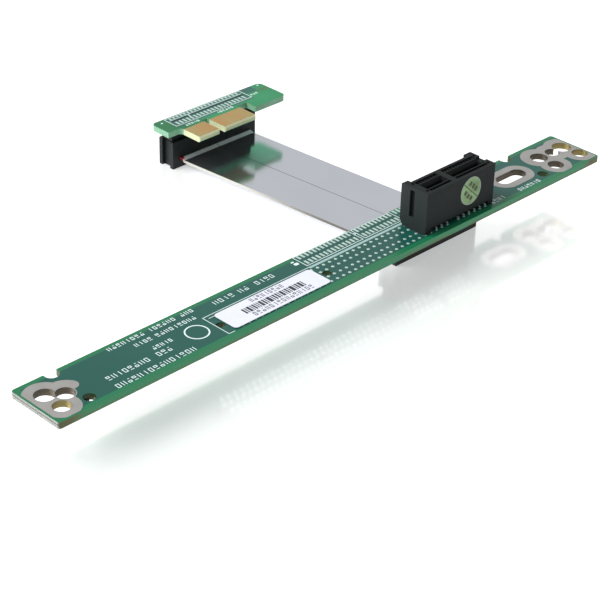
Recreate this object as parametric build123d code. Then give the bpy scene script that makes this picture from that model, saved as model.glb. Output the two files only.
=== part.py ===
from build123d import *
import math
import os

# A riser card: a long board with an upright x1 card slot, a flat ribbon and a small plug board.
# Millimetres. The origin is the centre of the underside of the long board's ribbon socket, on the
# table. X runs along the long board, Y runs towards the plug board and Z is up.

# Heights of what stacks up under each board, from the table
COVER_H = 2.4
RIBBON_T = 0.7
BODY_H = 4.7
SOCKET_TOP = COVER_H + RIBBON_T + BODY_H
INSULATOR_H = 2.7
FOOT_T = 0.2
UNDERSIDE = SOCKET_TOP + INSULATOR_H + FOOT_T
BOARD_T = 1.6
TOP = UNDERSIDE + BOARD_T
COPPER_T = 0.05

# Long board, by how far its edges lie from the middle of its ribbon socket
LEFT_REACH = 127.8
RIGHT_REACH = 50.2
NEAR_REACH = 13.6
FAR_REACH = 2.4
LEFT, RIGHT, NEAR, FAR = -LEFT_REACH, RIGHT_REACH, -NEAR_REACH, FAR_REACH
BOARD_L = RIGHT - LEFT
BOARD_W = FAR - NEAR
CORNER_R = 0.8

# Notches in the far edge, each from its own end of the board
NOTCH_R = 1.75
NOTCH_SETBACK = 0.7
LEFT_NOTCH = 10.2
RIGHT_NOTCH = 19.55

# Tinned fixing holes: along from the board's end, up from the near edge, hole radius, pad radius
FIXING_UP = 4.4
FIXING_R = 2.15
LEFT_FIXING = [(4.25, FIXING_UP, FIXING_R, 4.25), (4.1, 9.9, 2.45, 4.85)]
LEFT_HALF_PAD = (7.7, 7.6, 2.25, 4.9)
HALF_PAD_END_R = 1.6
RIGHT_FIXING = [(2.55, FIXING_UP, FIXING_R, 4.2), (12.5, FIXING_UP, FIXING_R, 4.2), (3.4, 9.75, 2.6, 4.85),
                (12.6, 9.85, 2.4, 4.9), (7.6, 9.5, 2.0, 4.4)]
PAD_MARGIN = 0.5
PAD_SET_BACK = 0.2
OBLONG_FROM_RIGHT = 26.35
OBLONG_UP = 7.9
OBLONG_R = 2.2
OBLONG_TRAVEL = 5.5
OBLONG_PAD_R = 4.25
BARE_HOLE_R = 1.45
LEFT_BARE_HOLE = (10.45, 3.15)
RIGHT_BARE_HOLE = (19.0, 3.4)

# Card slot, upright on the long board: its faces lie at their own distances from its contacts' middle
SLOT_X = -2.6
SLOT_UP = 5.45
SLOT_Y = NEAR + SLOT_UP
SLOT_LEFT = 12.85
SLOT_RIGHT = 12.15
SLOT_NEAR = 3.4
SLOT_FAR = 3.8
SLOT_H = 11.0
SKIRT_H = 1.2
MOUTH_END = 10.5
LONG_OPENING = 11.65
SHORT_OPENING = 7.65
CARD_GAP = 1.75
CARD_DEPTH = 8.0
LEAD_IN_W = 0.5
LEAD_IN_H = 0.9
RIM_W = 0.8
RIM_H = 0.4
CAVITY_W = 0.62
CAVITY_DEPTH = 5.2
LEDGE_OUT = 1.7
LEDGE_H = 1.6
CHANNEL_IN = 1.9
EAR_OUT = 1.0
EAR_RISE = 1.55
LEFT_EAR_W = 2.2
RIGHT_EAR_W = 2.5
GROOVE_W = 1.5
GROOVE_Y = 1.2
GROOVE_D = 0.8
GROOVE_FOOT = 3.3
GROOVE_HEAD = 0.6
END_DIP_W = 2.3
END_DIP_Y = 0.6
END_DIP = 0.55
PIT = 0.8
PIT_X = 11.1
PIT_Y = [-1.95, 2.7]
PEG_R = 1.05
PEG_CLEAR = 0.1
PEG_X = [-2.0, -11.15]
PEG_L = 0.3
PEG_SIDES = 16

# Contact pattern of the slot, and of the longer slot that the board also has holes for
PITCH = 1.0
FIRST_PIN = 9.5
KEY_AFTER = 11
KEY_PINS = 2
SLOT_PINS = 18
FIRST_FREE_PIN = 22
FIELD_PINS = 82
ROW_IN = 1.25
ROW_OUT = 3.25
TAIL_HOLE_R = 0.42
FIELD_PEG_X = [-42.7, -75.97]
SOLDER_R = 0.55
SOLDER_H = 0.15
FEW_SIDES = 6

# One sprung contact, cut from strip; each head is a depth below the slot's mouth
STRIP_T = 0.25
STRIP_W = 0.5
TAIL_BELOW = 2.4
JOG_LOW = 0.4
JOG_HIGH = 0.95
BEAM_Y = 2.4
BEAM_HEAD = 4.5
GRIP_Y = 0.87
GRIP_HEAD = 2.8
TIP_Y = 2.1
TIP_HEAD = 1.7

# Fine-pitch pin headers mated with ribbon sockets, alike under both boards
COLUMNS = 20
FINE_PITCH = 1.27
INSULATOR_W = 3.4
INSULATOR_END = 1.8
FOOT_W = 0.4
FOOT_IN = 0.45
FOOT_OUT = 2.3
SOCKET_L = 30.2
SOCKET_W = 5.5
ARM_W = 2.9
ARM_T = 0.8
ARM_RISE = 4.2
ARM_CLEAR = 0.1
ARM_SET_IN = 0.9
CHANNEL_SPARE = 0.2

# Ribbon
CORES = 40
RIBBON_W = CORES * FINE_PITCH / 2
REACH = 75.4
PLUG_SHIFT = -5.95
EXIT = 0.5
DROP = 0.6
DROP_RUN = 1.2
BEND_R = 1.2

# Plug board, placed from the centre of its own ribbon socket
PLUG_LEFT = 17.8
PLUG_RIGHT = 21.85
PLUG_FAR = 2.85
PLUG_NEAR = 4.15
WING_NEAR = 7.85
TONGUE_LEFT = 13.4
TONGUE_TIP = 11.65
SHORT_TONGUE = 7.2
KEY_NOTCH = 1.9
LONG_TONGUE = 11.2
NOTCH_DEPTH = 7.4
RELIEF_W = 3.45
PLUG_CORNER_R = 1.5
TONGUE_ROOT_R = 1.0
TIP_R = 0.4
TIP_BEVEL = 0.4
FINGER_W = 0.7
FINGER_L = 5.8
FINGER_SET_IN = 0.5
EDGE_TO_FINGER = 0.65

# Surface-mount pads in pairs of rows
PAD_W = 0.76
PAD_L = 1.95
PAD_ROW = 1.3
LEFT_COMB_X = -45.1
LEFT_COMB_COLUMNS = 14
MIDDLE_COMB_X = -25.6
MIDDLE_COMB_COLUMNS = 10

# Labels
LABEL_T = 0.1
LABEL_L = 30.0
LABEL_W = 7.5
LABEL_FROM_SLOT = 59.7
LABEL_UP = 5.65
LABEL_R = 1.0
STICKER_R = 3.7
STICKER_X = 3.3
STICKER_UP = 6.5


def box(x0, x1, y0, y1, z0, z1):
    """A block between two corners."""
    return Pos((x0 + x1) / 2, (y0 + y1) / 2, (z0 + z1) / 2) * Box(x1 - x0, y1 - y0, z1 - z0)


def strip(points, width):
    """The outline of a strip of even width along an open run of points, with mitred corners."""
    one_side, other_side = [], []
    for i, (a, b) in enumerate(points):
        back = points[max(i - 1, 0)]
        ahead = points[min(i + 1, len(points) - 1)]
        turn_in = math.atan2(b - back[1], a - back[0]) if i else None
        turn_out = math.atan2(ahead[1] - b, ahead[0] - a) if i < len(points) - 1 else turn_in
        turn_in = turn_out if turn_in is None else turn_in
        along = (turn_in + turn_out) / 2
        reach = width / 2 / math.cos((turn_out - turn_in) / 2)
        one_side.append((a - reach * math.sin(along), b + reach * math.cos(along)))
        other_side.append((a + reach * math.sin(along), b - reach * math.cos(along)))
    return one_side, other_side


def rounded(face, corners, radius):
    """The face with the vertices nearest the given corners rounded."""
    picked = [face.vertices().sort_by_distance((x, y, 0))[0] for x, y in corners]
    return fillet(picked, radius)


def from_end(along, up, right=False):
    """A point on the long board from its left or right end and its near edge."""
    return (RIGHT - along if right else LEFT + along, NEAR + up)


def pin_x(number):
    """X of a contact from the middle of the slot."""
    skipped = KEY_PINS if number > KEY_AFTER else 0
    return FIRST_PIN - (number - 1 + skipped) * PITCH


def row_y(number, side):
    """Y of a contact's hole from the middle of the slot: odd ones are in the outer row."""
    return side * (ROW_OUT if number % 2 else ROW_IN)


def oblong(radius):
    """The long adjusting slot, or its pad."""
    x, y = from_end(OBLONG_FROM_RIGHT, OBLONG_UP, right=True)
    return Pos(x, y) * SlotCenterToCenter(OBLONG_TRAVEL, 2 * radius)


def long_outline():
    """The long board seen from above, without its holes."""
    face = Pos((LEFT + RIGHT) / 2, (NEAR + FAR) / 2) * Rectangle(BOARD_L, BOARD_W)
    face = rounded(face, [(LEFT, NEAR), (LEFT, FAR), (RIGHT, NEAR), (RIGHT, FAR)], CORNER_R)
    for x in (LEFT + LEFT_NOTCH, RIGHT - RIGHT_NOTCH):
        centre_y = FAR - NOTCH_SETBACK
        face -= Pos(x, centre_y) * Circle(NOTCH_R)
        face -= Pos(x, centre_y + NOTCH_R) * Rectangle(2 * NOTCH_R, 2 * NOTCH_R)
    return face


def fixing_holes(holes, right=False, wider=0.0):
    """The tinned holes of one end, seen from above."""
    return Sketch() + [Pos(*from_end(a, up, right)) * Circle(r + wider) for a, up, r, pad in holes]


def tail_places():
    """Where each contact's tail goes through the board."""
    return [(SLOT_X + pin_x(n), SLOT_Y + row_y(n, side)) for n in range(1, SLOT_PINS + 1) for side in (-1, 1)]


def riser_board():
    """The long board with every hole drilled."""
    face = long_outline() - fixing_holes(LEFT_FIXING + [LEFT_HALF_PAD]) - fixing_holes(RIGHT_FIXING, True)
    face -= oblong(OBLONG_R)
    face -= Pos(*from_end(*LEFT_BARE_HOLE)) * Circle(BARE_HOLE_R)
    face -= Pos(*from_end(*RIGHT_BARE_HOLE, right=True)) * Circle(BARE_HOLE_R)
    peg_hole = RegularPolygon(PEG_R + PEG_CLEAR, PEG_SIDES)
    face -= [Pos(SLOT_X + x, SLOT_Y) * peg_hole for x in PEG_X + FIELD_PEG_X]
    tail_hole = RegularPolygon(TAIL_HOLE_R, FEW_SIDES)
    face -= [Pos(x, y) * tail_hole for x, y in tail_places()]
    return Pos(0, 0, UNDERSIDE) * extrude(face, BOARD_T)


def pads_round(holes, right=False):
    """The joined pads round some holes, seen from above and before they are drilled."""
    return Sketch() + [Pos(*from_end(a, up, right)) * Circle(pad) for a, up, r, pad in holes]


def left_pads():
    """The left end's pads: one of them is masked over its near half."""
    a, up, r, pad = LEFT_HALF_PAD
    half_disc = rounded(Circle(pad) & Pos(0, pad / 2) * Rectangle(2 * pad, pad), [(pad, 0)], HALF_PAD_END_R)
    pads = pads_round(LEFT_FIXING) + Pos(*from_end(a, up)) * half_disc
    return pads - fixing_holes(LEFT_FIXING + [LEFT_HALF_PAD], wider=PAD_SET_BACK)


def fixing_pads():
    """Tinned copper on the top face round the fixing holes and the adjusting slot, clear of their edges."""
    kept = Rectangle(BOARD_L - 2 * PAD_MARGIN, BOARD_W - 2 * PAD_MARGIN)
    kept = Pos((LEFT + RIGHT) / 2, (NEAR + FAR) / 2) * kept
    faces = [left_pads() & kept,
             (pads_round(RIGHT_FIXING, True) & kept) - fixing_holes(RIGHT_FIXING, True, PAD_SET_BACK),
             (oblong(OBLONG_PAD_R) & kept) - oblong(OBLONG_R + PAD_SET_BACK)]
    return [Pos(0, 0, TOP) * extrude(face, COPPER_T) for face in faces]


def slot_field_pads():
    """Solder-filled holes of the longer slot that isn't fitted."""
    spots = [(SLOT_X + pin_x(n), SLOT_Y + row_y(n, side))
             for n in range(FIRST_FREE_PIN, FIELD_PINS + 1) for side in (-1, 1)]
    pad = extrude(RegularPolygon(SOLDER_R, FEW_SIDES), SOLDER_H)
    return [Pos(x, y, TOP) * pad for x, y in spots]


def comb(x0, y0, columns):
    """Two rows of surface-mount pads on the top of a board."""
    pad = Box(PAD_W, PAD_L, COPPER_T)
    return [Pos(x0 + i * FINE_PITCH, y0 + side * PAD_ROW, TOP + COPPER_T / 2) * pad
            for i in range(columns) for side in (-1, 1)]


def end_ear(x, toward, width):
    """A gusset that widens the slot's end on its far side."""
    profile = make_face(Polyline((SLOT_FAR, 0), (SLOT_FAR + EAR_OUT, EAR_RISE), (SLOT_FAR + EAR_OUT, SLOT_H),
                                 (SLOT_FAR, SLOT_H), close=True))
    return Pos(x, 0, 0) * extrude(Plane.YZ * profile, toward * width)


def card_openings():
    """The two openings that a card's edge enters, either side of the key, with their lead-ins."""
    half = CARD_GAP / 2
    mouth = make_face(Polyline((-half, SLOT_H - CARD_DEPTH), (-half, SLOT_H - LEAD_IN_H),
                               (-half - LEAD_IN_W, SLOT_H), (half + LEAD_IN_W, SLOT_H),
                               (half, SLOT_H - LEAD_IN_H), (half, SLOT_H - CARD_DEPTH), close=True))
    long_cut = Pos(MOUTH_END - LONG_OPENING, 0, 0) * extrude(Plane.YZ * mouth, LONG_OPENING)
    short_cut = Pos(-MOUTH_END, 0, 0) * extrude(Plane.YZ * mouth, SHORT_OPENING)
    return [long_cut, short_cut]


def both_sides(x0, x1, inner, z0, z1):
    """A block on either side of the slot's middle, from that far out to the rim."""
    return [box(x0, x1, inner, SLOT_FAR - RIM_W, z0, z1), box(x0, x1, RIM_W - SLOT_NEAR, -inner, z0, z1)]


def top_recesses():
    """The sunk strips between the rim and the ledges along the mouth, either side of the key."""
    low = SLOT_H - RIM_H
    return (both_sides(MOUTH_END - LONG_OPENING, MOUTH_END, LEDGE_OUT, low, SLOT_H)
            + both_sides(-MOUTH_END, SHORT_OPENING - MOUTH_END, LEDGE_OUT, low, SLOT_H))


def contact_cavities():
    """A comb of slits for the contacts, under the ledges, with windows above and channels through the floor."""
    floor = SLOT_H - CAVITY_DEPTH
    ceiling = SLOT_H - LEDGE_H
    cuts = []
    for number in range(1, SLOT_PINS + 1):
        x = pin_x(number)
        x0, x1 = x - CAVITY_W / 2, x + CAVITY_W / 2
        cuts.append(box(x0, x1, RIM_W - SLOT_NEAR, SLOT_FAR - RIM_W, floor, ceiling))
        cuts += both_sides(x0, x1, LEDGE_OUT, ceiling, SLOT_H)
        cuts += both_sides(x0, x1, CHANNEL_IN, 0, floor)
    return cuts


def end_details():
    """Grooves down both ends, a dip in the right wall and small moulding pits."""
    top = SLOT_H - GROOVE_HEAD
    y0, y1 = GROOVE_Y - GROOVE_W / 2, GROOVE_Y + GROOVE_W / 2
    dip0, dip1 = END_DIP_Y - END_DIP_W / 2, END_DIP_Y + END_DIP_W / 2
    cuts = [box(-SLOT_LEFT, GROOVE_D - SLOT_LEFT, y0, y1, GROOVE_FOOT, top),
            box(SLOT_RIGHT - GROOVE_D, SLOT_RIGHT, y0, y1, GROOVE_FOOT, top),
            box(MOUTH_END, SLOT_RIGHT, dip0, dip1, SLOT_H - END_DIP, SLOT_H)]
    cuts += [Pos(x, y, SLOT_H - PIT) * Box(PIT, PIT, 2 * PIT) for x in (-PIT_X, PIT_X) for y in PIT_Y]
    return cuts


def slot_housing():
    """The moulding of the slot: feet at both ends, raised between them, with two pegs."""
    body = box(-SLOT_LEFT, SLOT_RIGHT, -SLOT_NEAR, SLOT_FAR, 0, SLOT_H)
    body -= box(-MOUTH_END, MOUTH_END, -SLOT_NEAR, SLOT_FAR, 0, SKIRT_H)
    body += end_ear(-SLOT_LEFT, 1, LEFT_EAR_W)
    body += end_ear(SLOT_RIGHT, -1, RIGHT_EAR_W)
    body -= card_openings()
    body -= top_recesses()
    body -= contact_cavities()
    body -= end_details()
    peg_z = -BOARD_T - PEG_L
    peg = extrude(RegularPolygon(PEG_R, PEG_SIDES), SKIRT_H - peg_z)
    body += [Pos(x, 0, peg_z) * peg for x in PEG_X]
    return Pos(SLOT_X, SLOT_Y, TOP) * body


def contact(row):
    """One contact on the far side of the slot: tail, jog, beam, grip and tip."""
    spine = [(row, -TAIL_BELOW), (row, JOG_LOW), (BEAM_Y, JOG_HIGH), (BEAM_Y, SLOT_H - BEAM_HEAD),
             (GRIP_Y, SLOT_H - GRIP_HEAD), (TIP_Y, SLOT_H - TIP_HEAD)]
    one_side, other_side = strip(spine, STRIP_T)
    face = make_face(Polyline(*one_side, *reversed(other_side), close=True))
    return extrude(Plane.YZ * face, STRIP_W / 2, both=True)


def slot_contacts(side):
    """The contacts of one side: 1 is the far side, -1 the near side."""
    shapes = {True: contact(ROW_OUT), False: contact(ROW_IN)}
    turn = 0 if side > 0 else 180
    out = []
    for number in range(1, SLOT_PINS + 1):
        place = Pos(SLOT_X + pin_x(number), SLOT_Y, TOP) * Rot(0, 0, turn)
        out.append(place * shapes[number % 2 == 1])
    return out


def column_x(index):
    """X of a header column from the middle of its socket."""
    return (index - (COLUMNS - 1) / 2) * FINE_PITCH


def header():
    """The insulator that carries the header's pins, seated on the socket."""
    length = COLUMNS * FINE_PITCH + 2 * INSULATOR_END
    return box(-length / 2, length / 2, -INSULATOR_W / 2, INSULATOR_W / 2, SOCKET_TOP, SOCKET_TOP + INSULATOR_H)


def header_feet():
    """The pins' feet, which run out over the insulator to the board's underside."""
    out = []
    for i in range(COLUMNS):
        x0, x1 = column_x(i) - FOOT_W / 2, column_x(i) + FOOT_W / 2
        out.append(box(x0, x1, FOOT_IN, FOOT_OUT, UNDERSIDE - FOOT_T, UNDERSIDE))
        out.append(box(x0, x1, -FOOT_OUT, -FOOT_IN, UNDERSIDE - FOOT_T, UNDERSIDE))
    return out


def socket_body():
    """The ribbon socket's body, with a groove down each end for the cover's arms."""
    z0 = COVER_H + RIBBON_T
    half = SOCKET_L / 2
    body = box(-half, half, -SOCKET_W / 2, SOCKET_W / 2, z0, SOCKET_TOP)
    groove_w = ARM_W + 2 * ARM_CLEAR
    groove_d = ARM_SET_IN + ARM_T + ARM_CLEAR
    for end in (-1, 1):
        body -= Pos(end * (half - groove_d / 2), 0, z0 + BODY_H / 2) * Box(groove_d, groove_w, BODY_H)
    return body


def socket_cover():
    """The cover that presses the ribbon on to the body, with an arm up the groove in each end."""
    half = SOCKET_L / 2
    seat = COVER_H + RIBBON_T
    channel = RIBBON_W / 2 + CHANNEL_SPARE
    block = box(-half, half, -SOCKET_W / 2, SOCKET_W / 2, 0, seat)
    block -= box(-channel, channel, -SOCKET_W / 2, SOCKET_W / 2, COVER_H, seat)
    for end in (-1, 1):
        block -= Pos(end * (half - ARM_SET_IN / 2), 0, seat / 2) * Box(ARM_SET_IN, ARM_W + 2 * ARM_CLEAR, seat)
        x = end * (half - ARM_SET_IN - ARM_T / 2)
        block += Pos(x, 0, seat + ARM_RISE / 2) * Box(ARM_T, ARM_W, ARM_RISE)
    return block


def ribbon():
    """The flat ribbon, from the near face of one socket to the far face of the other."""
    s = SOCKET_W / 2
    middle = COVER_H + RIBBON_T / 2
    bend, level = s + EXIT, s + EXIT + DROP_RUN
    spine = [(-s, middle), (bend, middle), (level, middle - DROP),
             (REACH - level, middle - DROP), (REACH - bend, middle), (REACH + s, middle)]
    upper, lower = strip(spine, RIBBON_T)
    edge = FilletPolyline(*upper, radius=BEND_R) + FilletPolyline(*lower, radius=BEND_R)
    edge += [Line(upper[0], lower[0]), Line(upper[-1], lower[-1])]
    side_view = extrude(Plane.YZ * make_face(edge), RIBBON_W + abs(PLUG_SHIFT), both=True)
    h = RIBBON_W / 2
    plan = make_face(Polyline((-h, -s), (-h, s), (PLUG_SHIFT - h, REACH - s), (PLUG_SHIFT - h, REACH + s),
                              (PLUG_SHIFT + h, REACH + s), (PLUG_SHIFT + h, REACH - s), (h, s), (h, -s),
                              close=True))
    return side_view & extrude(plan, TOP)


def plug_outline():
    """The plug board seen from above: body, wing and tongue, with the key notch."""
    short_end = SHORT_TONGUE - TONGUE_LEFT
    long_start = short_end + KEY_NOTCH
    tongue_right = long_start + LONG_TONGUE
    wing_left = tongue_right + RELIEF_W
    face = make_face(Polyline(
        (-PLUG_LEFT, PLUG_FAR), (-PLUG_LEFT, -PLUG_NEAR),
        (-TONGUE_LEFT, -PLUG_NEAR), (-TONGUE_LEFT, -TONGUE_TIP),
        (short_end, -TONGUE_TIP), (short_end, NOTCH_DEPTH - TONGUE_TIP), (long_start, NOTCH_DEPTH - TONGUE_TIP),
        (long_start, -TONGUE_TIP), (tongue_right, -TONGUE_TIP), (tongue_right, -PLUG_NEAR),
        (wing_left, -PLUG_NEAR), (wing_left, -WING_NEAR), (PLUG_RIGHT, -WING_NEAR), (PLUG_RIGHT, PLUG_FAR),
        close=True))
    outer = [(-PLUG_LEFT, PLUG_FAR), (PLUG_RIGHT, PLUG_FAR), (PLUG_RIGHT, -WING_NEAR)]
    face = rounded(face, outer, PLUG_CORNER_R)
    face = rounded(face, [(-TONGUE_LEFT, -PLUG_NEAR)], TONGUE_ROOT_R)
    tips = [(-TONGUE_LEFT, -TONGUE_TIP), (short_end, -TONGUE_TIP), (long_start, -TONGUE_TIP),
            (tongue_right, -TONGUE_TIP)]
    return rounded(face, tips, TIP_R)


def plug_place():
    """Where the plug board's socket stands."""
    return Pos(PLUG_SHIFT, REACH, 0)


def plug_board():
    """The plug board, with both long edges of its tongue's tip bevelled."""
    board = Pos(0, 0, UNDERSIDE) * extrude(plug_outline(), BOARD_T)
    wedge = make_face(Polyline((-TONGUE_TIP, TOP - TIP_BEVEL), (-TONGUE_TIP, TOP),
                               (TIP_BEVEL - TONGUE_TIP, TOP), close=True))
    across = PLUG_LEFT + PLUG_RIGHT
    upper = extrude(Plane.YZ * wedge, across, both=True)
    lower = upper.mirror(Plane.XY.offset((TOP + UNDERSIDE) / 2))
    return plug_place() * (board - upper - lower)


def plug_fingers(z0):
    """The row of gold fingers on one face of the tongue."""
    long_right = SHORT_TONGUE + KEY_NOTCH + LONG_TONGUE - TONGUE_LEFT
    first = long_right - EDGE_TO_FINGER
    y = FINGER_SET_IN + FINGER_L / 2 - TONGUE_TIP
    out = []
    for number in range(1, SLOT_PINS + 1):
        x = first + pin_x(number) - FIRST_PIN
        out.append(plug_place() * Pos(x, y, z0 + COPPER_T / 2) * Box(FINGER_W, FINGER_L, COPPER_T))
    return out


def board_label():
    """The white label, lying on the solder of the unused holes."""
    face = RectangleRounded(LABEL_L, LABEL_W, LABEL_R)
    return Pos(SLOT_X - LABEL_FROM_SLOT, NEAR + LABEL_UP, TOP + SOLDER_H) * extrude(face, LABEL_T)


def slot_sticker():
    """The round sticker on the slot's near face."""
    disc = Cylinder(STICKER_R, LABEL_T)
    y = SLOT_Y - SLOT_NEAR - LABEL_T / 2
    return Pos(SLOT_X + STICKER_X, y, TOP + STICKER_UP) * Rot(90, 0, 0) * disc


def at_plug(shapes):
    """The same pieces, standing at the plug board instead."""
    return [plug_place() * shape for shape in shapes]


def pieces():
    """Every node's name and its solids."""
    fine_start = column_x(0)
    return {
        "riser_board": [riser_board()],
        "fixing_pads": fixing_pads(),
        "slot_field_pads": slot_field_pads(),
        "comb_pads_left": comb(LEFT_COMB_X, 0, LEFT_COMB_COLUMNS),
        "comb_pads_middle": comb(MIDDLE_COMB_X, 0, MIDDLE_COMB_COLUMNS),
        "comb_pads_right": comb(fine_start, 0, COLUMNS),
        "slot_housing": [slot_housing()],
        "slot_contacts_near": slot_contacts(-1),
        "slot_contacts_far": slot_contacts(1),
        "board_label": [board_label()],
        "slot_sticker": [slot_sticker()],
        "riser_header": [header()],
        "riser_header_feet": header_feet(),
        "riser_socket_body": [socket_body()],
        "riser_socket_cover": [socket_cover()],
        "ribbon": [ribbon()],
        "plug_board": [plug_board()],
        "plug_fingers_top": plug_fingers(TOP),
        "plug_fingers_bottom": plug_fingers(UNDERSIDE - COPPER_T),
        "plug_pads": at_plug(comb(fine_start, 0, COLUMNS)),
        "plug_header": at_plug([header()]),
        "plug_header_feet": at_plug(header_feet()),
        "plug_socket_body": at_plug([socket_body()]),
        "plug_socket_cover": at_plug([socket_cover()]),
    }


os.makedirs("parts", exist_ok=True)
for name, shapes in pieces().items():
    export_step(Compound(children=shapes) if len(shapes) > 1 else shapes[0], "parts/" + name + ".step")
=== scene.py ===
import math

import bpy
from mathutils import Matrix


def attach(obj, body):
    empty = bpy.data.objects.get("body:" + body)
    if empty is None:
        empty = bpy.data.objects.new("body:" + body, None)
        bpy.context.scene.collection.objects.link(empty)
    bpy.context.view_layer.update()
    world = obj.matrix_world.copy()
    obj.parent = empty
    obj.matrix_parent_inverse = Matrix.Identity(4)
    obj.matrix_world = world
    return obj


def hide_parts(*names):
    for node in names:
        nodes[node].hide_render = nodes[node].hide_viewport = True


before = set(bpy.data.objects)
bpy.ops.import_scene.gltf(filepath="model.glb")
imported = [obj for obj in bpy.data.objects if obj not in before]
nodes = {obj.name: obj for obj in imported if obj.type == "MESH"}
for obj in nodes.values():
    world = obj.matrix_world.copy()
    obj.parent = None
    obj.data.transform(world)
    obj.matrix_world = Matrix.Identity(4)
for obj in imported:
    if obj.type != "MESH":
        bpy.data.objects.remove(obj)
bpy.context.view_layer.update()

# Places and sizes are in millimetres here, and every object is in metres
MM = 0.001
HAIR = 0.001

# Boards
TOP = 12.3
UNDERSIDE = 10.7
COPPER_T = 0.05
LEFT, RIGHT, NEAR, FAR = -127.8, 50.2, -13.6, 2.4
PLUG_X, PLUG_Y = -5.95, 75.4
TONGUE = (-19.35, 0.95)
TONGUE_TIP = 63.75
FINGERS_END = 70.2

# Fields of colour on the boards: x0, x1, y0, y1
COPPER_PLANE = (LEFT + 1.6, RIGHT - 1.2, NEAR + 1.4, FAR - 1.1)
COMB_COPPER = (-47.0, -12.8, -3.5, FAR - 0.15)
PLUG_COPPER = (PLUG_X - 13.6, PLUG_X + 14.0, PLUG_Y - 3.4, PLUG_Y + 2.6)
CORNER_COPPER = (6.0, 12.2, 75.0, 78.6)
DULL_SPOT = (12.4, 15.4, 74.0, 75.4)
BARE_TONGUE = (TONGUE[0] - 1, TONGUE[1] + 1, TONGUE_TIP - 1, FINGERS_END)
END_LAYER_Z = 11.6

# Tinned holes: x, y, hole radius, pad radius
LEFT_HOLES = [(-123.55, -9.2, 2.15, 4.25), (-123.7, -3.7, 2.45, 4.85), (-120.1, -6.0, 2.25, 4.9)]
RIGHT_HOLES = [(47.65, -9.2, 2.15, 4.2), (37.7, -9.2, 2.15, 4.2), (46.8, -3.85, 2.6, 4.85),
               (37.6, -3.75, 2.4, 4.9), (42.6, -4.1, 2.0, 4.4)]
OBLONG_ENDS = [(21.1, -5.7), (26.6, -5.7)]
OBLONG_R, OBLONG_PAD_R = 2.2, 4.25
LIP_W = 0.2
PLATING = 0.07
PAD_MARGIN = 0.5
LAP = 0.01
CUTTER_OVER, CUTTER_STEP = 1.0, 0.1
HOLE_SMOOTH = 35

# Heights of copper under the board, down a hole and on top of the board
PAD_Z = (UNDERSIDE - COPPER_T, UNDERSIDE)
TUBE_Z = (UNDERSIDE - LAP, TOP + LAP)
LIP_Z = (TOP, TOP + COPPER_T)

# Card slot and the unused holes beside it
SLOT_X, SLOT_Y = -2.6, -8.15
SLOT_NEAR = 3.4
SLOT_LEFT_END = -15.3
FIELD_FIRST, FIELD_LAST = 22, 82
PIN_ONE = 9.5
KEY_AFTER, KEY_PINS = 11, 2
ROW_IN, ROW_OUT = 1.25, 3.25
LABEL_TOP = TOP + 0.25
STICKER_X, STICKER_Z = 0.7, 18.8
STICKER_T = 0.1

# Solder: radii, sides, and steps of a width inwards and a rise
DOME_R, DOME_STEPS = 0.42, [(0.12, 0.05), (0.16, 0.04)]
UNDER_R, UNDER_STEPS = 0.5, [(0.2, 0.06)]
FIELD_SIDES = 10
RING_R, RING_STEPS = 0.4, [(0.1, 0.04)]
CONE_R, CONE_STEPS = 0.6, [(0.08, 0.0), (0.16, 0.22), (0.1, 0.24)]
TAIL_SIDES = 12
SOLDER_SMOOTH = 50

# Rows of pads: node, x of the first column, columns, a pad's width, and the rows as y0, y1
FINE_PITCH = 1.27
COLUMNS = 20
HALF_ROW = (COLUMNS - 1) / 2 * FINE_PITCH
RISER_ROWS = [(-2.22, -0.55), (0.5, 2.2)]
PLUG_ROWS = [(73.2, 74.95), (76.6, 77.6)]
PAD_ROWS = [("comb_pads_left", -45.1, 14, 0.64, RISER_ROWS),
            ("comb_pads_middle", -25.6, 10, 0.64, RISER_ROWS),
            ("comb_pads_right", -HALF_ROW, COLUMNS, 0.64, RISER_ROWS),
            ("plug_pads", PLUG_X - HALF_ROW, COLUMNS, 0.62, PLUG_ROWS)]
PAD_T, PAD_STEPS = 0.03, [(0.07, 0.02)]

# Ribbon
RIBBON_W = 25.4
CORE = 0.635
PARTING = 20
SOCKET_HALF = 2.75

# Print: bars, frames and spots are x0, x1, y0, y1
INK_T = 0.015
LINE = 0.2
RISER_BARS = [(-79.7, -79.52, -12.0, -3.3), (-79.5, -77.9, -12.1, -11.93), (-79.5, -46.6, -3.5, -3.32),
              (-78.7, -46.6, -4.5, -4.34)]
RISER_FRAMES = [(-46.3, -27.3, -2.75, 2.3), (-26.7, -13.1, -2.75, 2.3)]
RISER_SPOTS = [((-48.2, -46.9, -0.9, 0.1), 0.3), ((-48.2, -47.3, 0.45, 1.0), 0.2)]
STRIPE, STRIPE_CORNER = (-46.6, -13.6, -4.0, -3.25), 0.2
PLUG_FRAME = (-19.6, 8.0, 72.7, 77.9)
PLUG_BARS = [(-18.9, 7.2, 76.2, 76.4), (-12.7, -12.4, 75.05, 76.1)]
PLUG_DOTS, DOT_R = [(-21.3, 76.66), (14.35, 77.3)], 0.32
DARK_LINES = [("plug_line_left", (-18.9, -12.8, 75.2, 75.95)), ("plug_line_right", (-12.3, 7.2, 75.2, 75.95)),
              ("riser_line", (-79.2, -46.6, -4.95, -4.75))]

# A chevron and a ring, each by the place of its middle
CHEVRON_AT, CHEVRON_REACH, CHEVRON_LINE = (-27.2, 0.5), 1.1, 0.22
CHEVRON_TURN, CHEVRON_SPREAD = 40, 0.3
CIRCLE_AT, CIRCLE_R, CIRCLE_LINE = (-84.3, -6.8), 2.9, 0.35

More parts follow.
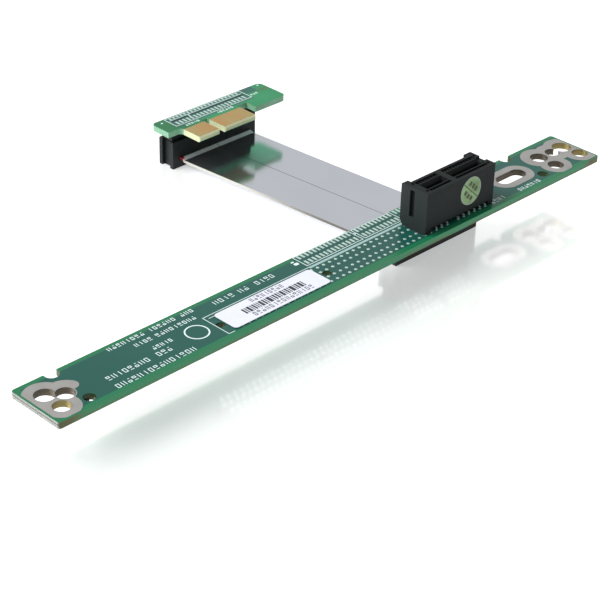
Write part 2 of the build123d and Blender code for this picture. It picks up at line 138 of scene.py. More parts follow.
# Lines of small marks: x0, x1, y, height, pitch and where each starts in MARK_ORDER
MARK_LINE, LABEL_LINE = 0.19, 0.22
MARK_SHARE = 0.62
MARK_ORDER = [0, 1, 4, 2, 1, 3, 0, 2, 4, 1, 0, 3, 2]
RISER_MARKS = [(-110.8, -88.4, -11.3, 1.5, 1.49, 0), (-110.5, -98.2, -7.8, 1.5, 1.5, 3),
               (-96.6, -92.3, -7.8, 1.5, 1.45, 6), (-95.7, -90.0, -5.3, 1.2, 1.15, 2),
               (-103.2, -93.0, 0.75, 1.25, 1.3, 1), (-91.6, -83.6, 0.75, 1.25, 1.3, 5),
               (-82.4, -78.4, 0.75, 1.25, 1.3, 8), (-97.8, -92.8, -1.9, 1.25, 1.25, 4),
               (-91.8, -79.6, -1.9, 1.25, 1.3, 7), (-73.5, -67.5, -0.4, 1.5, 1.6, 9),
               (-65.8, -62.6, -0.4, 1.5, 1.6, 1), (-60.6, -54.5, -0.4, 1.5, 1.5, 10),
               (9.4, 15.0, -11.4, 1.5, 1.35, 2), (19.8, 28.4, -11.7, 1.25, 1.2, 0)]
PLUG_MARKS = [(-17.3, -12.4, 71.6, 0.9, 1.0, 2), (-5.9, 0.1, 71.75, 0.9, 1.0, 5),
              (8.6, 11.4, 73.9, 0.8, 0.9, 1)]
LABEL_MARKS = [(-67.0, -56.9, -5.35, 1.5, 1.15, 1), (-70.3, -51.7, -10.1, 1.5, 1.25, 6)]

# Bars on the label, made up
BARS_FROM = -71.3
BARS_Y = (-8.95, -6.75)
BAR_GAP = 0.3
BAR_WIDTHS = [0.5, 0.3, 0.75, 0.3, 0.5, 0.3, 0.3, 0.75, 0.5, 0.3, 0.95, 0.3, 0.5, 0.5, 0.3, 0.75, 0.3, 0.5,
              0.3, 0.95, 0.3, 0.5, 0.75, 0.3]

# Fields on the sticker: x0, x1, y0, y1 from its middle, before it is turned
STICKER_FIELDS = [(-3.6, 3.6, -0.13, 0.13), (-2.0, -1.0, 0.7, 1.9), (-0.6, 0.4, 0.7, 2.0),
                  (0.8, 1.8, 0.7, 1.9), (-1.9, -0.9, -1.9, -0.8), (-0.4, 0.6, -2.1, -0.9),
                  (1.0, 2.0, -1.9, -0.8)]
STICKER_INK_T = 0.01
STICKER_TURN = -43

# Studio, in metres, watts and degrees; a lamp is its name, place, size and power
LAMPS = [("overhead", (-0.75, 0.5, 1.0), 1.0, 22.0), ("behind", (0.9, 0.95, 0.5), 1.2, 1.5)]
DAYLIGHT = 0.45
FLOOR_SIZE = 6.0
CAMERA_PLACE = (-0.313158, -0.261121, 0.226968)
CAMERA_TURN = (58.78996, -1.44051, -44.97627)
CAMERA_LENS, CAMERA_SENSOR = 109.78, 36.0
CAMERA_RANGE = (0.01, 20)


def metres(*values):
    return tuple(v * MM for v in values)


# Modelling

def nothing_chosen():
    if bpy.context.mode != "OBJECT":
        bpy.ops.object.mode_set(mode="OBJECT")
    bpy.ops.object.select_all(action="DESELECT")


def take(piece):
    nothing_chosen()
    piece.select_set(True)
    bpy.context.view_layer.objects.active = piece


def settle(piece):
    """Puts the piece's place into its mesh."""
    take(piece)
    bpy.ops.object.transform_apply(location=True, rotation=True, scale=True)
    return piece


def open_all(piece, kind="FACE"):
    """Edit mode, with everything chosen."""
    take(piece)
    bpy.ops.object.mode_set(mode="EDIT")
    bpy.ops.mesh.select_mode(type=kind)
    bpy.ops.mesh.select_all(action="SELECT")


def close():
    bpy.ops.object.mode_set(mode="OBJECT")


def open_parts(piece, kind, wanted):
    """Edit mode, with the wanted faces or vertices chosen."""
    open_all(piece, kind)
    bpy.ops.mesh.select_all(action="DESELECT")
    close()
    for part in piece.data.polygons if kind == "FACE" else piece.data.vertices:
        part.select = wanted(part)
    bpy.ops.object.mode_set(mode="EDIT")


def faces_up(face):
    return face.normal.z > 0.9


def faces_down(face):
    return face.normal.z < -0.9


def inset(width, rise=0.0):
    bpy.ops.mesh.inset(thickness=width * MM, depth=rise * MM)


def stepped(piece, wanted, steps):
    """Draws the wanted faces in step by step."""
    open_parts(piece, "FACE", wanted)
    for width, rise in steps:
        inset(width, rise)
    close()
    return piece


def thicken(piece, thick):
    open_all(piece)
    bpy.ops.mesh.extrude_region_move(TRANSFORM_OT_translate={"value": (0, 0, thick * MM)})
    close()
    return piece


def join(pieces):
    nothing_chosen()
    for piece in pieces:
        piece.select_set(True)
    bpy.context.view_layer.objects.active = pieces[0]
    if len(pieces) > 1:
        bpy.ops.object.join()
    return pieces[0]


def copy_to(piece, x, y):
    """A copy with its own mesh, moved by that much."""
    take(piece)
    bpy.ops.object.duplicate(linked=False)
    copy = bpy.context.active_object
    copy.location = metres(x, y, 0)
    return settle(copy)


def repeat(piece, places):
    """The piece, modelled at the first of the places, and a copy at each of the others."""
    x0, y0 = places[0]
    return join([piece] + [copy_to(piece, x - x0, y - y0) for x, y in places[1:]])


def combine(piece, other, how):
    """Joins, cuts or keeps the shared part of two closed pieces, and uses up the other."""
    take(piece)
    step = piece.modifiers.new("combine", "BOOLEAN")
    step.operation = how
    step.solver = "EXACT"
    step.object = other
    bpy.ops.object.modifier_apply(modifier=step.name)
    bpy.data.objects.remove(other)
    return piece


def dress(piece, name, finish, smooth=None):
    """Names a finished piece, gives it its finish and lets it ride on the card."""
    settle(piece)
    if smooth:
        bpy.ops.object.shade_smooth_by_angle(angle=math.radians(smooth))
    piece.name = name
    piece.data.name = name
    piece.data.materials.clear()
    piece.data.materials.append(finish)
    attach(piece, "root")
    return piece


def drum(x, y, radius, z0, z1, sides=64):
    bpy.ops.mesh.primitive_cylinder_add(vertices=sides, radius=radius * MM, depth=(z1 - z0) * MM,
                                        location=metres(x, y, (z0 + z1) / 2))
    return settle(bpy.context.active_object)


def block(x0, x1, y0, y1, z0, z1):
    bpy.ops.mesh.primitive_cube_add(size=1, location=metres((x0 + x1) / 2, (y0 + y1) / 2, (z0 + z1) / 2),
                                    scale=metres(x1 - x0, y1 - y0, z1 - z0))
    return settle(bpy.context.active_object)


def pill(ends, radius, z0, z1):
    """A drum drawn out along X between two centres."""
    (x0, y0), (x1, y1) = ends
    piece = drum(x0, y0, radius, z0, z1)
    open_parts(piece, "VERT", lambda corner: corner.co.x > (x0 + HAIR) * MM)
    bpy.ops.transform.translate(value=metres(x1 - x0, y1 - y0, 0))
    close()
    return piece


def sheet(x0, x1, y0, y1, z):
    bpy.ops.mesh.primitive_plane_add(size=1, location=metres((x0 + x1) / 2, (y0 + y1) / 2, z))
    piece = bpy.context.active_object
    piece.scale = ((x1 - x0) * MM, (y1 - y0) * MM, 1)
    return settle(piece)


def patch(x0, x1, y0, y1, z=TOP, thick=INK_T, corner=0.0):
    """A field of print, with rounded corners where a radius is given."""
    piece = sheet(x0, x1, y0, y1, z)
    if corner:
        open_all(piece, "VERT")
        bpy.ops.mesh.bevel(offset=corner * MM, segments=3, affect="VERTICES")
        close()
    return thicken(piece, thick)


def rim(x0, x1, y0, y1, z=TOP, line=LINE):
    """A printed frame."""
    piece = sheet(x0, x1, y0, y1, z)
    open_all(piece)
    inset(line)
    bpy.ops.mesh.delete(type="FACE")
    close()
    return thicken(piece, INK_T)


# Finishes

def rgb(red, green, blue):
    """A colour as a screen shows it, 0 to 255."""
    def linear(value):
        share = value / 255
        return share / 12.92 if share <= 0.04045 else ((share + 0.055) / 1.055) ** 2.4
    return (linear(red), linear(green), linear(blue), 1.0)


class Finish:
    """A procedural finish: its nodes read where the surface is on the object."""

    def __init__(self, name, metallic=0.0, **plain):
        self.material = bpy.data.materials.new(name)
        self.material.use_nodes = True
        self.tree = self.material.node_tree
        self.shader = self.tree.nodes["Principled BSDF"]
        self.shader.inputs["Metallic"].default_value = metallic
        for socket, value in plain.items():
            self.shader.inputs[socket.replace("_", " ")].default_value = value
        self.place = self.node("ShaderNodeTexCoord").outputs["Object"]
        self.bumps = None

    def node(self, kind, **settings):
        made = self.tree.nodes.new(kind)
        for name, value in settings.items():
            setattr(made, name, value)
        return made

    def feed(self, socket, value):
        if isinstance(value, bpy.types.NodeSocket):
            self.tree.links.new(value, socket)
        else:
            socket.default_value = value

    def maths(self, operation, *values):
        made = self.node("ShaderNodeMath", operation=operation)
        for socket, value in zip(made.inputs, values):
            self.feed(socket, value)
        return made.outputs[0]

    def lowest(self, *values):
        least = values[0]
        for value in values[1:]:
            least = self.maths("MINIMUM", least, value)
        return least

    def within(self, value, low, high):
        """How far a place along one axis lies inside two limits in millimetres."""
        return self.lowest(self.maths("SUBTRACT", value, low * MM), self.maths("SUBTRACT", high * MM, value))

    def inside(self, x, y, field):
        """How far a place lies inside a field of x0, x1, y0, y1."""
        x0, x1, y0, y1 = field
        return self.lowest(self.within(x, x0, x1), self.within(y, y0, y1))

    def step(self, value, low, high):
        """0 at low and 1 at high, smooth between."""
        made = self.node("ShaderNodeMapRange", interpolation_type="SMOOTHSTEP")
        self.feed(made.inputs["Value"], value)
        made.inputs["From Min"].default_value = low
        made.inputs["From Max"].default_value = high
        return made.outputs["Result"]

    def fade(self, place, low, high):
        """A step between two places in millimetres."""
        return self.step(place, low * MM, high * MM)

    def mix(self, amount, one, two):
        made = self.node("ShaderNodeMix", data_type="RGBA")
        self.feed(made.inputs[0], amount)
        self.feed(made.inputs[6], one)
        self.feed(made.inputs[7], two)
        return made.outputs[2]

    def axes(self):
        made = self.node("ShaderNodeSeparateXYZ")
        self.feed(made.inputs[0], self.place)
        return made.outputs

    def stretched(self, x=1.0, y=1.0, z=1.0):
        made = self.node("ShaderNodeMapping")
        self.feed(made.inputs["Vector"], self.place)
        made.inputs["Scale"].default_value = (x, y, z)
        return made.outputs[0]

    def grain(self, scale, detail=3.0, place=None):
        made = self.node("ShaderNodeTexNoise")
        self.feed(made.inputs["Vector"], place or self.place)
        made.inputs["Scale"].default_value = scale
        made.inputs["Detail"].default_value = detail
        return made.outputs["Fac"]

    def wave(self, scale, axis):
        made = self.node("ShaderNodeTexWave", wave_type="BANDS", bands_direction=axis)
        self.feed(made.inputs["Vector"], self.place)
        made.inputs["Scale"].default_value = scale
        return made.outputs["Fac"]

    def cloth(self):
        """The weave of a board's laminate."""
        return self.maths("ADD", self.wave(700, "X"), self.wave(620, "Y"))

    def level(self):
        """1 on a flat surface that lies level, and 0 on an upright one."""
        made = self.node("ShaderNodeSeparateXYZ")
        self.feed(made.inputs[0], self.node("ShaderNodeNewGeometry").outputs["True Normal"])
        return self.maths("ABSOLUTE", made.outputs[2])

    def upward(self):
        """0 on a board's edges and 1 on its faces."""
        return self.step(self.level(), 0.4, 0.6)

    def colour(self, value):
        self.feed(self.shader.inputs["Base Color"], value)

    def rough(self, value, low, high):
        made = self.node("ShaderNodeMapRange")
        self.feed(made.inputs["Value"], value)
        made.inputs["To Min"].default_value = low
        made.inputs["To Max"].default_value = high
        self.feed(self.shader.inputs["Roughness"], made.outputs["Result"])

    def relief(self, height, depth, strength=1.0):
        """Bumps of that depth in millimetres, on top of the ones before."""
        made = self.node("ShaderNodeBump")
        made.inputs["Strength"].default_value = strength
        made.inputs["Distance"].default_value = depth * MM
        self.feed(made.inputs["Height"], height)
        if self.bumps is not None:
            self.feed(made.inputs["Normal"], self.bumps)
        self.bumps = made.outputs[0]
        self.feed(self.shader.inputs["Normal"], self.bumps)


def riser_finish():
    """Green lacquer, darker over copper; the cut edges are green, olive or pale by where they lie."""
    made = Finish("riser_lacquer", Specular_IOR_Level=0.28)
    x, y, z = made.axes()
    cloth = made.cloth()
    drift = made.grain(38, 4)
    copper = made.maths("MAXIMUM", made.inside(x, y, COPPER_PLANE), made.inside(x, y, COMB_COPPER))
    copper = made.fade(copper, -0.1, 0.25)
    over_copper = made.mix(drift, rgb(14, 74, 66), rgb(28, 88, 78))
    over_laminate = made.mix(made.maths("MULTIPLY", cloth, 0.5), rgb(18, 100, 64), rgb(32, 116, 78))

    near_end = made.maths("MAXIMUM", made.fade(x, -119, -125), made.fade(x, 43, 47))
    near_end = made.maths("MULTIPLY", near_end, made.step(made.grain(90, 3), 0.25, 0.5))
    low = made.fade(z, UNDERSIDE + 0.5, UNDERSIDE + 0.3)
    low = made.maths("MULTIPLY", low, made.step(made.grain(70, 2), 0.4, 0.6))
    side = made.mix(made.maths("MAXIMUM", near_end, low),
                    made.mix(drift, rgb(40, 124, 84), rgb(56, 136, 92)),
                    made.mix(made.grain(400, 4), rgb(70, 76, 42), rgb(104, 104, 66)))
    off_layer = made.maths("ABSOLUTE", made.maths("SUBTRACT", z, END_LAYER_Z * MM))
    end = made.mix(made.fade(off_layer, 0.1, 0.22), rgb(68, 78, 66),
                   made.mix(made.grain(500, 4), rgb(118, 122, 116), rgb(148, 150, 144)))
    side = made.mix(made.fade(x, LEFT + 0.3, LEFT + 0.1), side, end)
    wall = made.mix(made.grain(500, 3), rgb(34, 54, 24), rgb(60, 80, 42))
    from_outline = made.inside(x, y, (LEFT, RIGHT, NEAR, FAR))
    edge = made.mix(made.fade(from_outline, 0.1, 0.3), side, wall)

    made.colour(made.mix(made.upward(), edge, made.mix(copper, over_laminate, over_copper)))
    made.rough(made.grain(260, 4), 0.24, 0.38)
    made.relief(cloth, 0.006, 0.5)
    made.relief(copper, 0.03, 0.6)
    return made.material


def plug_finish():
    """Bright green wings, a darker middle, a bare tan tongue with pale bevelled edges, and an underside painted
    lighter green as painted light.
    """
    made = Finish("plug_lacquer", Specular_IOR_Level=0.28)
    x, y, z = made.axes()
    cloth = made.cloth()
    patchy = made.grain(120, 3)
    blend = made.maths("ADD", made.maths("MULTIPLY", cloth, 0.15), patchy)
    wings = made.mix(made.fade(x, -18, -6),
                     made.mix(blend, rgb(8, 88, 48), rgb(30, 116, 72)),
                     made.mix(blend, rgb(14, 112, 66), rgb(38, 138, 90)))
    copper = made.maths("MAXIMUM", made.inside(x, y, PLUG_COPPER), made.inside(x, y, CORNER_COPPER))
    middle = made.mix(patchy, rgb(14, 72, 62), rgb(44, 108, 94))
    face = made.mix(made.fade(copper, -0.3, 0.3), wings, middle)
    dull = made.fade(made.inside(x, y, DULL_SPOT), -0.4, 0.4)
    face = made.mix(made.maths("MULTIPLY", dull, 0.6), face, rgb(74, 92, 50))

    bare = made.fade(made.inside(x, y, BARE_TONGUE), 0.0, 0.1)
    tan = made.mix(patchy, rgb(146, 128, 80), rgb(168, 148, 98))
    pale = made.mix(made.grain(400, 3), rgb(186, 192, 150), rgb(208, 214, 176))
    face = made.mix(bare, face, made.mix(made.fade(y, TONGUE_TIP + 0.5, TONGUE_TIP + 0.4), tan, pale))
    # Painted light: the underside is painted a lighter green than the top, so it shows brighter in the ribbon's
    # reflection
    below = made.fade(z, UNDERSIDE + 0.5, UNDERSIDE + 0.3)
    face = made.mix(below, face, made.mix(blend, rgb(44, 152, 104), rgb(80, 178, 132)))
    edge = made.mix(bare, made.mix(made.grain(300, 4), rgb(96, 152, 120), rgb(140, 188, 156)), pale)

    made.colour(made.mix(made.upward(), edge, face))
    made.rough(made.grain(260, 4), 0.24, 0.38)
    made.relief(cloth, 0.006, 0.5)
    return made.material


def metal_finish(name, dark, light, metallic, low, high, scale=220):
    """Metal between two colours, its roughness between low and high."""
    made = Finish(name, metallic=metallic)
    made.colour(made.mix(made.grain(scale, 4), dark, light))
    made.rough(made.grain(800, 3), low, high)
    made.relief(made.grain(1500, 2), 0.01, 0.4)
    return made.material


def plated_finish():
    """Tin on the lips; the walls of the holes are olive gold at the corners and grey-brown elsewhere."""
    made = Finish("plated_hole", metallic=0.7)
    drawn = made.grain(300, 4, made.stretched(1.0, 1.0, 6.0))
    x, y, _ = made.axes()
    left_corner = made.maths("MULTIPLY", made.fade(x, -100, -110), made.fade(y, -6.8, -7.2))
    corner = made.maths("MAXIMUM", left_corner, made.fade(x, 44.0, 44.6))
    wall = made.mix(corner, made.mix(drawn, rgb(58, 52, 42), rgb(98, 90, 78)),
                    made.mix(drawn, rgb(110, 98, 58), rgb(152, 138, 88)))
    lip = made.mix(made.grain(220, 4), rgb(154, 153, 150), rgb(180, 179, 176))
    made.colour(made.mix(made.upward(), wall, lip))
    made.rough(drawn, 0.3, 0.5)
    made.relief(drawn, 0.015, 0.5)
    return made.material


def finger_finish():
    """Gold, wiped along the fingers and a little redder in places."""
    made = Finish("finger_gold", metallic=0.65)
    wipe = made.grain(240, 4, made.stretched(6.0, 0.6, 6.0))
    blush = made.step(made.grain(120, 2), 0.42, 0.65)
    made.colour(made.mix(blush, made.mix(wipe, rgb(172, 154, 100), rgb(190, 170, 116)), rgb(190, 148, 94)))
    made.rough(wipe, 0.34, 0.5)
    made.relief(wipe, 0.008, 0.4)
    return made.material


def contact_finish():
    """Dull gold on the sprung part and tin on the tail."""
    made = Finish("contact_metal", metallic=0.85)
    _, _, z = made.axes()
    wipe = made.grain(240, 4)
    tail = made.mix(wipe, rgb(150, 158, 152), rgb(188, 196, 190))
    spring = made.mix(wipe, rgb(112, 94, 54), rgb(150, 126, 76))
    made.colour(made.mix(made.fade(z, TOP + 1.2, TOP + 1.6), tail, spring))
    made.rough(wipe, 0.3, 0.46)
    made.relief(wipe, 0.008, 0.4)
    return made.material


def moulded_finish(name, dark, light, roughness, shine):
    """Black plastic; the slot's left end face is painted a lighter grey, a painted highlight as if lit from the
    left.
    """
    made = Finish(name, Specular_IOR_Level=shine)
    x, _, z = made.axes()
    # Painted light: the left end face of the slot, above the board, is painted lighter grey as a painted
    # highlight
    end = made.maths("MULTIPLY", made.fade(x, SLOT_LEFT_END + 0.4, SLOT_LEFT_END), made.fade(z, TOP - 0.5, TOP))
    made.colour(made.mix(end, made.mix(made.grain(90, 4), dark, light), rgb(43, 49, 49)))
    made.rough(made.grain(500, 4), roughness - 0.06, roughness + 0.1)
    made.relief(made.grain(2600, 3), 0.012, 0.5)
    made.relief(made.grain(160, 2), 0.05, 0.15)
    return made.material


def ribbon_finish():
    """A mirror-bright grey skin over forty cores, duller in its bends; the first core is red at the plug."""
    made = Finish("ribbon_grey")
    x, y, _ = made.axes()
    bend = made.step(made.level(), 0.985, 0.94)
    made.feed(made.shader.inputs["Metallic"], made.maths("SUBTRACT", 0.95, made.maths("MULTIPLY", bend, 0.75)))

    # The cores run slantwise from one socket to the other
    run = PLUG_Y - 2 * SOCKET_HALF
    along = made.lowest(made.maths("MAXIMUM", made.maths("SUBTRACT", y, SOCKET_HALF * MM), 0.0), run * MM)
    across = made.maths("ADD", made.maths("SUBTRACT", x, made.maths("MULTIPLY", along, PLUG_X / run)),
                        RIBBON_W / 2 * MM)
    count = made.maths("MULTIPLY", across, 1 / (CORE * MM))
    off_middle = made.maths("ABSOLUTE", made.maths("SUBTRACT", made.maths("FRACT", count), 0.5))
    squared = made.maths("MULTIPLY", off_middle, off_middle)
    crown = made.maths("SUBTRACT", 1.0, made.maths("MULTIPLY", squared, 4.0))

    grey = made.mix(made.grain(60, 3), rgb(196, 201, 208), rgb(207, 211, 218))
    seam = made.step(made.maths("ABSOLUTE", made.maths("SUBTRACT", count, PARTING)), 0.22, 0.1)
    grey = made.mix(seam, grey, rgb(112, 114, 120))
    # Painted light: the ribbon's cut edges are painted pale near the plug, a painted highlight, and darker
    # towards the riser, painted shade
    cut = made.mix(made.fade(y, 55, 20), rgb(196, 195, 187), rgb(96, 90, 84))
    grey = made.mix(made.upward(), cut, grey)
    socket_y = PLUG_Y - SOCKET_HALF
    red = made.maths("MULTIPLY", made.step(count, 1.3, 1.1), made.fade(y, socket_y - 1.3, socket_y - 1.1))
    made.colour(made.mix(red, grey, rgb(140, 24, 44)))
    made.rough(made.maths("ADD", made.maths("MULTIPLY", made.grain(300, 3), 0.2), bend), 0.06, 0.5)
    made.relief(crown, 0.015, 0.25)
    made.relief(made.grain(45, 3, made.stretched(1.0, 0.5, 1.0)), 0.35, 0.3)
    return made.material


def paper_finish():
    made = Finish("label_paper", Specular_IOR_Level=0.3)
    made.colour(made.mix(made.grain(400, 5), rgb(214, 217, 228), rgb(226, 229, 239)))
    made.rough(made.grain(300, 3), 0.42, 0.6)
    made.relief(made.grain(900, 4), 0.012, 0.4)
    return made.material


def sticker_finish():
    """Green film with a greyer rim."""
    made = Finish("sticker_green", Specular_IOR_Level=0.3)
    x, _, z = made.axes()
    dx = made.maths("SUBTRACT", x, STICKER_X * MM)
    dz = made.maths("SUBTRACT", z, STICKER_Z * MM)
    out = made.maths("SQRT", made.maths("ADD", made.maths("MULTIPLY", dx, dx), made.maths("MULTIPLY", dz, dz)))
    green = made.mix(made.step(made.grain(300, 4), 0.35, 0.65), rgb(108, 140, 92), rgb(142, 176, 120))
    made.colour(made.mix(made.fade(out, 3.25, 3.45), green, rgb(140, 158, 142)))
    made.rough(made.grain(300, 3), 0.36, 0.5)
    made.relief(made.grain(900, 3), 0.01, 0.4)
    return made.material


def ink_finish(name, dark, light):
    made = Finish(name, Specular_IOR_Level=0.3)
    made.colour(made.mix(made.grain(1200, 4), dark, light))
    made.rough(made.grain(800, 3), 0.4, 0.6)
    made.relief(made.grain(2400, 3), 0.006, 0.4)
    return made.material


def floor_finish():
    """White, partly a mirror, and it glows a little, like a light table."""
    made = Finish("floor_white", metallic=0.48, Emission_Color=(1, 1, 1, 1), Emission_Strength=0.43)
    made.colour(made.mix(made.grain(4, 2), rgb(250, 250, 250), rgb(254, 254, 254)))
    made.rough(made.grain(30, 2), 0.1, 0.14)
    return made.material


TIN = metal_finish("bright_tin", rgb(154, 153, 150), rgb(180, 179, 176), 0.6, 0.36, 0.52)
FEET = metal_finish("header_tin", rgb(150, 152, 150), rgb(190, 192, 190), 0.85, 0.3, 0.45)
SOLDER = metal_finish("solder", rgb(176, 204, 194), rgb(214, 234, 226), 0.5, 0.2, 0.4, scale=500)
PAD_TIN = metal_finish("pad_tin", rgb(168, 196, 188), rgb(212, 230, 224), 0.45, 0.3, 0.45, scale=500)
PLATED = plated_finish()
FINGERS = finger_finish()
CONTACTS = contact_finish()
SLOT_BLACK = moulded_finish("slot_black", rgb(29, 34, 34), rgb(37, 42, 41), 0.55, 0.1)
SOCKET_BLACK = moulded_finish("socket_black", rgb(24, 28, 29), rgb(32, 36, 37), 0.45, 0.15)
RIBBON = ribbon_finish()
PAPER = paper_finish()
STICKER = sticker_finish()
WHITE_INK = ink_finish("white_ink", rgb(204, 226, 224), rgb(230, 242, 240))
PALE_INK = ink_finish("pale_ink", rgb(140, 172, 172), rgb(168, 194, 192))
BLACK_INK = ink_finish("black_ink", rgb(40, 42, 48), rgb(66, 68, 76))
GREY_INK = ink_finish("grey_ink", rgb(76, 78, 88), rgb(104, 106, 116))
TEAL_INK = ink_finish("teal_ink", rgb(20, 52, 50), rgb(34, 70, 66))
DARK_GREEN_INK = ink_finish("dark_green_ink", rgb(52, 66, 44), rgb(70, 86, 58))

NODE_FINISHES = {
    "riser_board": riser_finish(), "plug_board": plug_finish(), "fixing_pads": TIN,
    "comb_pads_left": PAD_TIN, "comb_pads_middle": PAD_TIN, "comb_pads_right": PAD_TIN, "plug_pads": PAD_TIN,
    "slot_field_pads": SOLDER, "slot_housing": SLOT_BLACK,
    "slot_contacts_near": CONTACTS, "slot_contacts_far": CONTACTS,
    "board_label": PAPER, "slot_sticker": STICKER, "ribbon": RIBBON,
    "riser_header": SOCKET_BLACK, "riser_socket_body": SOCKET_BLACK, "riser_socket_cover": SOCKET_BLACK,
    "plug_header": SOCKET_BLACK, "plug_socket_body": SOCKET_BLACK, "plug_socket_cover": SOCKET_BLACK,
    "riser_header_feet": FEET, "plug_header_feet": FEET,
    "plug_fingers_top": FINGERS, "plug_fingers_bottom": FINGERS}
for node_name, node_finish in NODE_FINISHES.items():
    shown = nodes[node_name]
    shown.data.materials.clear()
    shown.data.materials.append(node_finish)


# Solder

def pin_places(first, last):
    """Where the slot pattern's holes of those numbers lie."""
    places = []
    for number in range(first, last + 1):
        x = SLOT_X + PIN_ONE - (number - 1) - (KEY_PINS if number > KEY_AFTER else 0)
        out = ROW_OUT if number % 2 else ROW_IN
        places += [(x, SLOT_Y - out), (x, SLOT_Y + out)]
    return places


def field_solder():
    """A low dome in each unused hole, and a flatter one under the board."""
    places = pin_places(FIELD_FIRST, FIELD_LAST)
    x0, y0 = places[0]
    dome = stepped(drum(x0, y0, DOME_R, *LIP_Z, FIELD_SIDES), faces_up, DOME_STEPS)
    under = stepped(drum(x0, y0, UNDER_R, *PAD_Z, FIELD_SIDES), faces_down, UNDER_STEPS)
    piece = dress(repeat(join([dome, under]), places), "field_solder", SOLDER, SOLDER_SMOOTH)
    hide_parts("slot_field_pads")


def tail_solder():
    """A ring on the top and a cone of solder under the board at each hole below the slot."""
    places = pin_places(1, FIELD_FIRST - 1)
    x0, y0 = places[0]
    ring = stepped(drum(x0, y0, RING_R, *LIP_Z, TAIL_SIDES), faces_up, RING_STEPS)
    cone = stepped(drum(x0, y0, CONE_R, *PAD_Z, TAIL_SIDES), faces_down, CONE_STEPS)
    dress(repeat(join([ring, cone]), places), "tail_solder", SOLDER, SOLDER_SMOOTH)


def tinned_pads(node, x0, columns, wide, rows):
    """Rows of pads with softened tops, in place of a node's plain ones."""
    pads = []
    for y0, y1 in rows:
        pad = block(x0 - wide / 2, x0 + wide / 2, y0, y1, TOP, TOP + PAD_T)
        stepped(pad, faces_up, PAD_STEPS)
        pads += [pad] + [copy_to(pad, i * FINE_PITCH, 0) for i in range(1, columns)]
    piece = dress(join(pads), node + "_tin", PAD_TIN, SOLDER_SMOOTH)
    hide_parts(node)


field_solder()
tail_solder()
for pad_row in PAD_ROWS:
    tinned_pads(*pad_row)


# Plated holes

def united(drums):
    first = drums[0]
    for other in drums[1:]:
        combine(first, other, "UNION")
    return first


def through(holes):
    """A cutter a little narrower than the holes; each drum is longer than the one before."""
    drums = []
    for i, (x, y, hole, _) in enumerate(holes):
        over = CUTTER_OVER + CUTTER_STEP * i
        drums.append(drum(x, y, hole - PLATING, UNDERSIDE - over, TOP + over))
    return united(drums)


def lined(name, holes):
    """Plating down a group of holes, with its lip on top and its pads underneath."""
    board = block(LEFT + PAD_MARGIN, RIGHT - PAD_MARGIN, NEAR + PAD_MARGIN, FAR - PAD_MARGIN,
                  UNDERSIDE - CUTTER_OVER, TOP)
    pads = combine(united([drum(x, y, pad, *PAD_Z) for x, y, _, pad in holes]), board, "INTERSECT")
    tube = united([drum(x, y, hole, *TUBE_Z) for x, y, hole, _ in holes])
    lip = united([drum(x, y, hole + LIP_W, *LIP_Z) for x, y, hole, _ in holes])
    shells = [combine(shell, through(holes), "DIFFERENCE") for shell in (pads, tube, lip)]
    dress(join(shells), name, PLATED, HOLE_SMOOTH)


def lined_oblong(name):
    """The same in the oblong hole."""
    shells = []
    for radius, heights in [(OBLONG_PAD_R, PAD_Z), (OBLONG_R, TUBE_Z), (OBLONG_R + LIP_W, LIP_Z)]:
        cutter = pill(OBLONG_ENDS, OBLONG_R - PLATING, UNDERSIDE - CUTTER_OVER, TOP + CUTTER_OVER)
        shells.append(combine(pill(OBLONG_ENDS, radius, *heights), cutter, "DIFFERENCE"))
    dress(join(shells), name, PLATED, HOLE_SMOOTH)


lined("left_linings", LEFT_HOLES)
lined("right_linings", RIGHT_HOLES)
lined_oblong("oblong_lining")


# Print

def marks_row(x0, x1, y, tall, pitch, start, z=TOP, line=MARK_LINE):
    """A line of small plain marks: frames and bars."""
    end = x0 + pitch * MARK_SHARE
    middle = x0 + pitch * MARK_SHARE / 2
    low, high = y - tall / 2, y + tall / 2
    kinds = [
        lambda: [rim(x0, end, low, high, z, line)],
        lambda: [patch(x0, x0 + line, low, high, z), patch(end - line, end, low, high, z)],
        lambda: [rim(x0, end, y, high, z, line), patch(x0, end, low, low + line, z)],
        lambda: [patch(middle, middle + line, low, high, z)],
        lambda: [rim(x0, end, low, y, z, line), patch(middle, end, high - line, high, z)],
    ]
    models = {}
    row = []
    for i in range(round((x1 - x0) / pitch)):
        kind = MARK_ORDER[(i + start) % len(MARK_ORDER)]
        if kind in models:
            model, at = models[kind]
            row.append(copy_to(model, (i - at) * pitch, 0))
        else:
            model = join(kinds[kind]())
            model.location = metres(i * pitch, 0, 0)
            models[kind] = (settle(model), i)
            row.append(model)
    return join(row)


def chevron():
    """Two strokes that meet at a point towards +X."""
    x, y = CHEVRON_AT
    half, thin = CHEVRON_REACH / 2, CHEVRON_LINE / 2
    strokes = []
    for side in (-1, 1):
        stroke = patch(-half, half, -thin, thin)
        stroke.rotation_euler = (0, 0, -side * math.radians(CHEVRON_TURN))
        stroke.location = metres(x, y + side * CHEVRON_SPREAD * CHEVRON_REACH, 0)
        strokes.append(settle(stroke))
    return join(strokes)


def riser_print():
    marks = [patch(*bar) for bar in RISER_BARS]
    marks += [rim(*box) for box in RISER_FRAMES]
    marks.append(chevron())
    marks += [patch(*spot, corner=corner) for spot, corner in RISER_SPOTS]
    marks += [marks_row(*row) for row in RISER_MARKS]
    dress(join(marks), "riser_print", WHITE_INK)
    dress(patch(*STRIPE, corner=STRIPE_CORNER), "riser_stripe", PALE_INK)


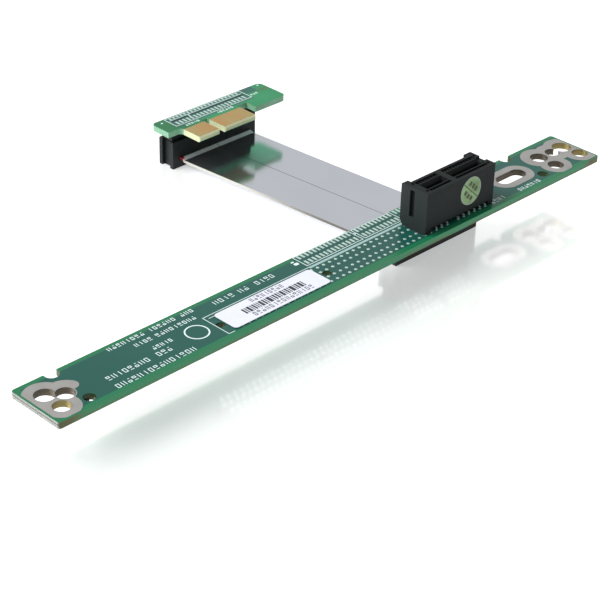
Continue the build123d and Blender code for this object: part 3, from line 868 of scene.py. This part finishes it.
def ring_mark():
    """A plain ring beside the small print."""
    piece = drum(*CIRCLE_AT, CIRCLE_R, TOP, TOP + INK_T, sides=48)
    open_parts(piece, "FACE", lambda face: faces_up(face) or faces_down(face))
    inset(CIRCLE_LINE)
    bpy.ops.mesh.bridge_edge_loops()
    close()
    dress(piece, "ring_mark", WHITE_INK)


def plug_print():
    marks = [rim(*PLUG_FRAME)] + [patch(*bar) for bar in PLUG_BARS]
    marks += [marks_row(*row) for row in PLUG_MARKS]
    marks += [drum(x, y, DOT_R, TOP, TOP + INK_T, sides=16) for x, y in PLUG_DOTS]
    dress(join(marks), "plug_print", WHITE_INK)


def dark_lines():
    """Lines where the lacquer shows darker beside the print."""
    for name, line in DARK_LINES:
        dress(patch(*line), name, TEAL_INK)


def label_print():
    x = BARS_FROM
    bars = []
    for wide in BAR_WIDTHS:
        bars.append(patch(x, x + wide, *BARS_Y, LABEL_TOP))
        x += wide + BAR_GAP
    dress(join(bars), "label_bars", BLACK_INK)
    marks = [marks_row(*row, LABEL_TOP, LABEL_LINE) for row in LABEL_MARKS]
    dress(join(marks), "label_marks", GREY_INK)


def sticker_print():
    """A dark rule across the sticker, and a few small fields on either side of it."""
    piece = join([patch(*field, z=0, thick=STICKER_INK_T) for field in STICKER_FIELDS])
    piece.rotation_euler = (0, 0, math.radians(STICKER_TURN))
    settle(piece)
    piece.rotation_euler = (math.radians(90), 0, 0)
    piece.location = metres(STICKER_X, SLOT_Y - SLOT_NEAR - STICKER_T, STICKER_Z)
    dress(piece, "sticker_fields", DARK_GREEN_INK)


riser_print()
ring_mark()
plug_print()
dark_lines()
label_print()
sticker_print()


# Studio

def show(name, data):
    shown = bpy.data.objects.new(name, data)
    bpy.context.scene.collection.objects.link(shown)
    return shown


def lamp(name, place, size, power):
    """A soft square lamp that points at the card's middle."""
    light = bpy.data.lights.new(name, "AREA")
    light.energy = power
    light.size = size
    body = show(name, light)
    body.location = place
    body.rotation_mode = "QUATERNION"
    body.rotation_quaternion = (-body.location).to_track_quat("-Z", "Y")


def studio():
    world = bpy.data.worlds.new("studio")
    world.use_nodes = True
    world.node_tree.nodes["Background"].inputs["Color"].default_value = (1, 1, 1, 1)
    world.node_tree.nodes["Background"].inputs["Strength"].default_value = DAYLIGHT
    bpy.context.scene.world = world
    nothing_chosen()
    bpy.ops.mesh.primitive_plane_add(size=FLOOR_SIZE, location=(0, 0, 0))
    floor = bpy.context.active_object
    floor.name = "floor"
    floor.data.materials.append(floor_finish())
    for settings in LAMPS:
        lamp(*settings)


def camera():
    """The photo's own view."""
    lens = bpy.data.cameras.new("camera")
    lens.sensor_width = CAMERA_SENSOR
    lens.lens = CAMERA_LENS
    lens.clip_start, lens.clip_end = CAMERA_RANGE
    eye = show("camera", lens)
    eye.location = CAMERA_PLACE
    eye.rotation_euler = tuple(math.radians(a) for a in CAMERA_TURN)
    bpy.context.scene.camera = eye
    bpy.context.scene.view_settings.view_transform = "Standard"


studio()
camera()
